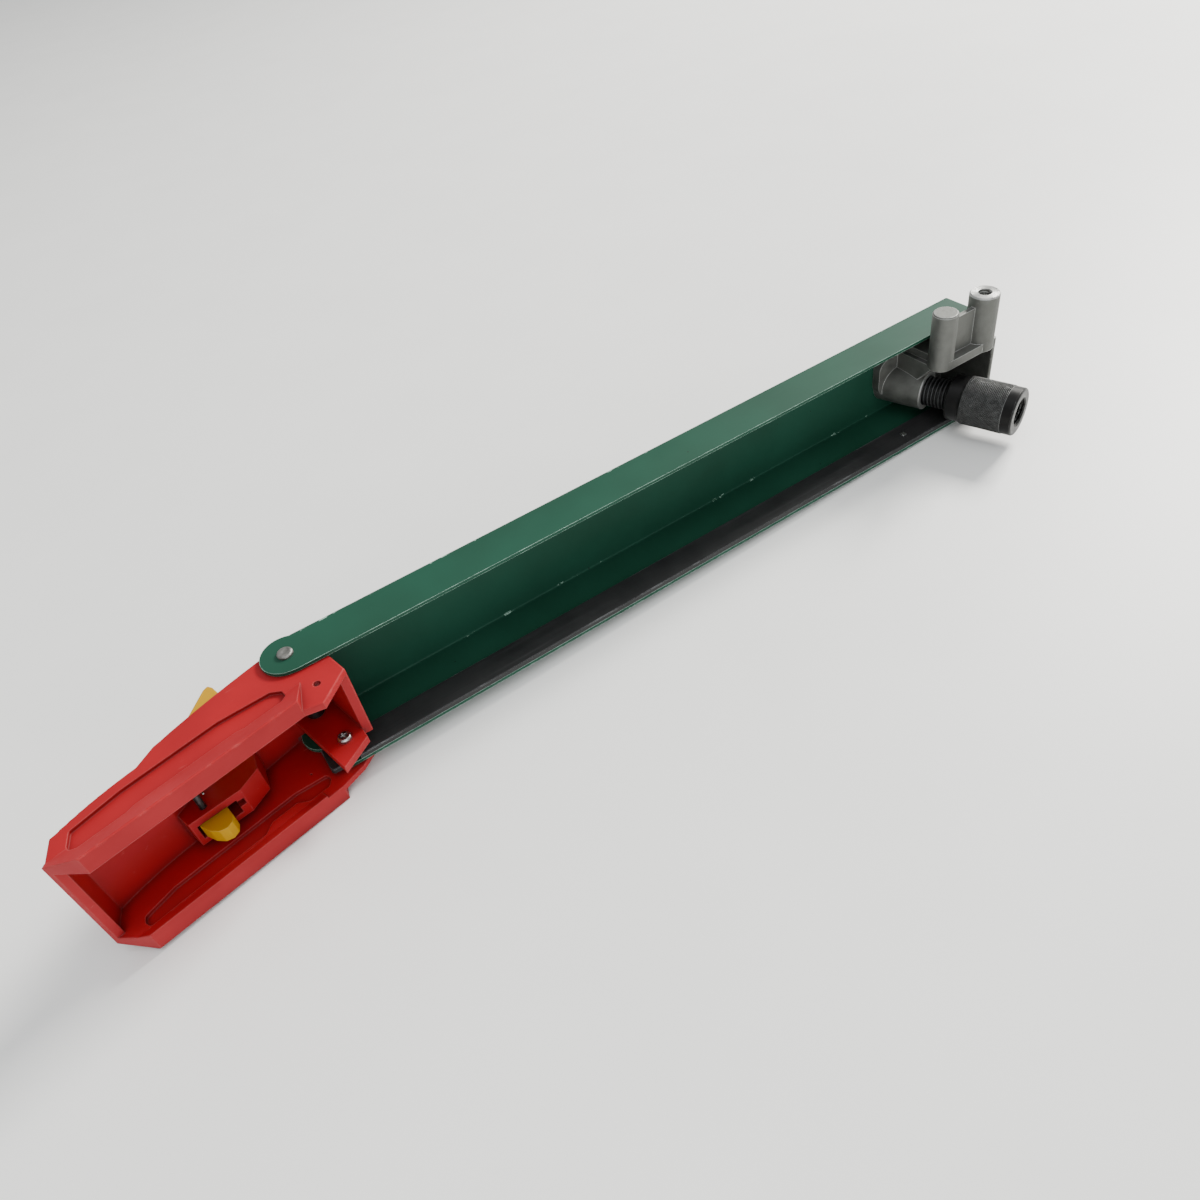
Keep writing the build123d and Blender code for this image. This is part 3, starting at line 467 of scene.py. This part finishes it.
black_thread = chemical_black("chemically_blackened_thread", 10.0, 8.9, 0.35)
black_knurl = chemical_black("chemically_blackened_knurl", 16.0, 15.6, 0.08)
dress(["knob_grub_screw"], black_thread)

# %% [markdown]
# ## Turned pieces
# A turned piece is a profile spun about an axis. A thread is the same thing with a
# climb: each step of the spin also moves along the axis, so that a full turn climbs one
# pitch. Pieces are made at the origin with their axis along Z, and then their mesh
# is carried to its place.

# %% Spin helpers
def spun(profile, steps, climb=0.0, turns=1, closed=False):
    """A bmesh of a profile of (radius, height) points in mm, spun about Z."""
    bm = bmesh.new()
    verts = [bm.verts.new((r * MM, 0, z * MM)) for r, z in profile]
    edges = [bm.edges.new(pair) for pair in zip(verts, verts[1:])]
    if closed:
        edges.append(bm.edges.new((verts[-1], verts[0])))
    full = climb == 0.0
    bmesh.ops.spin(
        bm,
        geom=verts + edges,
        cent=(0, 0, 0),
        axis=(0, 0, 1),
        dvec=(0, 0, climb * MM / steps),
        angle=2 * math.pi * turns,
        steps=steps * turns,
        use_merge=full,
    )
    bmesh.ops.remove_doubles(bm, verts=bm.verts, dist=0.0005 * MM)
    return bm


def finish_piece(bm, name, place, material, body, replaces=(), sharp=35.0):
    """Close, orient and place a piece, smooth it below the sharp angle, and hand it over."""
    bmesh.ops.holes_fill(bm, edges=[e for e in bm.edges if e.is_boundary])
    bmesh.ops.recalc_face_normals(bm, faces=bm.faces)
    for face in bm.faces:
        face.smooth = True
    for edge in bm.edges:
        edge.smooth = edge.calc_face_angle(0.0) < math.radians(sharp)
    bmesh.ops.transform(bm, matrix=place, verts=bm.verts)
    mesh = bpy.data.meshes.new(name)
    bm.to_mesh(mesh)
    bm.free()
    mesh.materials.append(material)
    piece = bpy.data.objects.new(name, mesh)
    bpy.context.scene.collection.objects.link(piece)
    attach(piece, body)
    if replaces:
        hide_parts(*replaces)
    print(name, len(mesh.polygons), "faces")
    return piece


# %% [markdown]
# ## The clamp screw
# The real screw has a coarse thread, 20 mm across with a 2.5 mm pitch. The profile is
# one pitch of it, crest and root, and climbing turns of it join end to end, with a
# couple to spare. Two cuts square to the axis trim it to length. A round seat for the
# swivel pad's stem is drawn in from the inner end.

# %% Helical thread
pitch = 2.5
thread_root = 8.65
thread_crest = 10.0
screw_from = -26.0
pad_seat_radius = 2.55
pad_seat_depth = 8.5
spare_turns = 2
one_pitch = [
    (thread_root, 0.0),
    (thread_root, 0.2 * pitch),
    (thread_crest, 0.5 * pitch),
    (thread_crest, 0.7 * pitch),
    (thread_root, pitch),
]
whole_turns = math.ceil((screw_to - screw_from) / pitch) + spare_turns
screw = spun(one_pitch, 40, climb=pitch, turns=whole_turns)
bmesh.ops.translate(screw, verts=screw.verts, vec=(0, 0, (screw_from - spare_turns * pitch) * MM))


def cut_off(bm, height, keep_above):
    """Trim a piece square to Z at a height in mm."""
    side = -1 if keep_above else 1
    bmesh.ops.bisect_plane(
        bm,
        geom=bm.verts[:] + bm.edges[:] + bm.faces[:],
        plane_co=(0, 0, height * MM),
        plane_no=(0, 0, side),
        clear_outer=True,
    )


def draw_in(bm, height, radius, depth):
    """Close the open end at a height with a flat that has a round seat in it."""
    rim = [
        e for e in bm.edges
        if e.is_boundary and all(abs(v.co.z - height * MM) < 0.01 * MM for v in e.verts)
    ]
    for target, drop in ((radius, 0.0), (radius, depth)):
        made = bmesh.ops.extrude_edge_only(bm, edges=rim)["geom"]
        rim = [g for g in made if isinstance(g, bmesh.types.BMEdge)]
        for vert in {v for e in rim for v in e.verts}:
            flat = vert.co.xy.normalized() * target * MM
            vert.co = (flat.x, flat.y, (height + drop) * MM)


cut_off(screw, screw_from, True)
cut_off(screw, screw_to, False)
draw_in(screw, screw_from, pad_seat_radius, pad_seat_depth)
finish_piece(
    screw, "clamp_screw_thread", boss_place, black_thread, "knob",
    ["clamp_screw"],
)

# %% [markdown]
# ## The knurled knob
# A knurl is pressed into the knob by two wheels, and leaves rows of small pyramids.
# A spun grid has the right corners already: every second corner, as on a
# chessboard, is a groove crossing and is pushed in, and each face is split between its
# two low corners, which become the groove. The pyramids are 1.6 mm across.

# %% Knob with a diamond knurl and a socket
knob_from = screw_to
knob_radius = 16.0
knurl_from = 28.0
knurl_to = 54.6
knurl_rows = 34
knurl_columns = 124
knurl_depth = 0.42
socket_radius = 9.0
socket_depth = 14.0
knurl_step = (knurl_to - knurl_from) / knurl_rows
knob_profile = [
    (9.0, knob_from),
    (14.0, knob_from),
    (15.0, knob_from + 1.0),
    (15.0, 26.4),
    (15.55, 27.0),
    (15.6, knurl_from - 0.3),
    *[(knob_radius, knurl_from + row * knurl_step) for row in range(knurl_rows + 1)],
    (15.6, knurl_to + 0.3),
    (15.6, knob_to - 1.1),
    (15.2, knob_to - 0.35),
    (14.5, knob_to),
    (socket_radius + 0.9, knob_to),
    (socket_radius, knob_to - 0.9),
    (socket_radius, knob_to - socket_depth),
    (1.0, knob_to - socket_depth),
]
knob = spun(knob_profile, knurl_columns)
grid = {}
for vert in knob.verts:
    row = (vert.co.z / MM - knurl_from) / knurl_step
    if abs(vert.co.xy.length - knob_radius * MM) < 0.01 * MM and abs(row - round(row)) < 0.01:
        column = round(math.atan2(vert.co.y, vert.co.x) / (2 * math.pi) * knurl_columns)
        grid[vert] = (round(row) + column) % 2
low = [vert for vert, odd in grid.items() if not odd]
for vert in low:
    vert.co.xy *= 1 - knurl_depth / knob_radius
for face in list(knob.faces):
    dips = [v for v in face.verts if grid.get(v) == 0]
    if len(dips) == 2 and all(v in grid for v in face.verts):
        bmesh.utils.face_split(face, *dips)
print(len(low), "groove crossings")
finish_piece(
    knob, "knurled_knob_turned", boss_place, black_knurl, "knob",
    ["knurled_knob"], sharp=20.0,
)

# %% [markdown]
# ## Threads inside holes
# The socket in the knob and the hole in the far post are tapped. Inside a hole, a thread is
# a ridge that winds round the wall. A closed triangle spun with a climb gives it, with
# its base just in the wall.

# %% Tapped ridges
def tapped(name, wall, reach, climb, depth, place, material, body):
    """A helical ridge inside a hole, from its mouth down."""
    ridge = [(wall + 0.15, 0.0), (reach, 0.45 * climb), (reach, 0.55 * climb), (wall + 0.15, climb)]
    turns = int(depth / climb) - 1
    bm = spun(ridge, 32, climb=climb, turns=turns, closed=True)
    drop = Matrix.Translation((0, 0, -(depth - 0.3) * MM))
    return finish_piece(bm, name, place @ drop, material, body, sharp=30.0)


socket_place = boss_place @ Matrix.Translation((0, 0, knob_to * MM))
tapped(
    "socket_thread", socket_radius, 8.1, 2.0, socket_depth, socket_place,
    black_thread, "knob",
)
post_place = Matrix.Translation((post_axis.x, post_axis.y, post_top))
tapped(
    "post_thread_ridge", 4.25, 3.7, 1.5, 20.0, post_place, cast_finish, "frame"
)

# %% [markdown]
# ## The latch's return spring
# A torsion spring sits on the latch's pin: five close coils of wire, with a straight
# leg at each end. A small circle spun with a climb makes the coils, and its two end
# circles are drawn out along their own directions for the legs.

# %% Coils and legs
wire = 0.45
coil_radius = 3.1
coil_pitch = 1.0
coil_turns = 5
leg_length = 9.0
open_angle = 11.4  # the handle's angle to the channel, degrees
spring_low, spring_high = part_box("latch_spring")
spring_axis = (spring_low + spring_high) / 2
ring = [
    (
        coil_radius + wire * math.cos(math.tau * i / 10),
        wire * math.sin(math.tau * i / 10),
    )
    for i in range(10)
]
spring = spun(ring, 28, climb=coil_pitch, turns=coil_turns, closed=True)
ends = [e for e in spring.edges if e.is_boundary]
for sign in (-1, 1):
    half = [e for e in ends if (e.verts[0].co.z > coil_pitch * coil_turns / 2 * MM) == (sign > 0)]
    made = bmesh.ops.extrude_edge_only(spring, edges=half)["geom"]
    tips = [g for g in made if isinstance(g, bmesh.types.BMVert)]
    bmesh.ops.translate(spring, verts=tips, vec=(0, sign * leg_length * MM, 0))
lever_turn = Matrix.Rotation(math.radians(open_angle), 4, "Z")
spring_place = Matrix.Translation((spring_axis.x, spring_axis.y, spring_low.z + wire * MM)) @ lever_turn
finish_piece(
    spring, "torsion_spring", spring_place, spring_wire, "handle", ["latch_spring"]
)

# %% [markdown]
# ## Table, light and camera
# The arm lies on a pale table. It rests on the handle's lower lip at one end and on
# the channel's far edge at the other, so the table's plane passes through those two
# and dips a little towards the handle.

# %% Table
lip_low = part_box("handle_shell")[0]
channel_low, channel_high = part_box("channel")
lip_reach = channel_low.x
slope = (channel_low.z - lip_low.z) / (channel_high.x - lip_reach)
rest_gap = 0.2 * MM


def table_height(x):
    """Height of the table's plane at a place along the arm."""
    return lip_low.z + (x - lip_reach) * slope - rest_gap


table = bmesh.new()
bmesh.ops.create_grid(table, x_segments=1, y_segments=1, size=6.0)
for vert in table.verts:
    vert.co.z = table_height(vert.co.x)
table_mesh = bpy.data.meshes.new("table")
table.to_mesh(table_mesh)
table.free()
floor = bpy.data.objects.new("table", table_mesh)
bpy.context.scene.collection.objects.link(floor)
print("table slopes", round(math.degrees(math.atan(slope)), 2), "degrees")


def card_surface():
    material, tree, shader, place = new_finish("coated_pale_card")
    fibres = noise(tree, place, 90.0, 3.0)
    card = blend(tree, ramp(tree, fibres, 0.3, 0.7, 0, 1), colour("#f6f6f3"), colour("#f9f9f6"))
    tree.links.new(card, shader.inputs["Base Color"])
    shader.inputs["Roughness"].default_value = 0.45
    return material


table_mesh.materials.append(card_surface())

# %% [markdown]
# One window lights the arm from the far end and a little behind it, about 35 degrees up,
# and throws soft shadows towards the handle. A ceiling light and the room in front fill
# the shadows, so that the inside of the handle isn't black. The rest comes from pale
# walls, which are the world's even light.

# %% Lights
def area_light(name, place, aim, size, power, tint):
    lamp = bpy.data.lights.new(name, "AREA")
    lamp.shape = "RECTANGLE"
    lamp.size, lamp.size_y = size
    lamp.energy = power
    lamp.color = colour(tint)[:3]
    light = bpy.data.objects.new(name, lamp)
    light.location = place
    light.rotation_euler = (Vector(aim) - Vector(place)).to_track_quat("-Z", "Y").to_euler()
    bpy.context.scene.collection.objects.link(light)
    print(name, power, "W")


area_light("window_behind", (2.6, 0.7, 1.85), (0, 0, 0), (1.0, 0.8), 200.0, "#fffdf8")
area_light("room_in_front", (-0.7, -1.9, 0.8), (-0.1, 0, 0), (1.6, 1.0), 14.0, "#fbfcff")
area_light("ceiling", (-0.3, -0.6, 2.0), (0, 0, 0), (1.8, 1.8), 20.0, "#fbfdff")
world = bpy.data.worlds.new("room")
world.use_nodes = True
world.node_tree.nodes["Background"].inputs["Color"].default_value = colour("#eceef0")
world.node_tree.nodes["Background"].inputs["Strength"].default_value = 0.7
bpy.context.scene.world = world

# %% [markdown]
# The camera is held above the handle's end and looks down along the arm, slightly turned
# in the hand. Its lens takes in about sixty-four degrees.

# %% Camera
camera = bpy.data.objects.new("camera", bpy.data.cameras.new("camera"))
camera.location = (-0.25615, -0.39453, 0.39700)
camera.rotation_euler = [math.radians(a) for a in (46.306, 7.947, -33.556)]
camera.data.sensor_width = 36.0
camera.data.lens = 28.95
camera.data.clip_start = 0.01
bpy.context.scene.collection.objects.link(camera)
bpy.context.scene.camera = camera
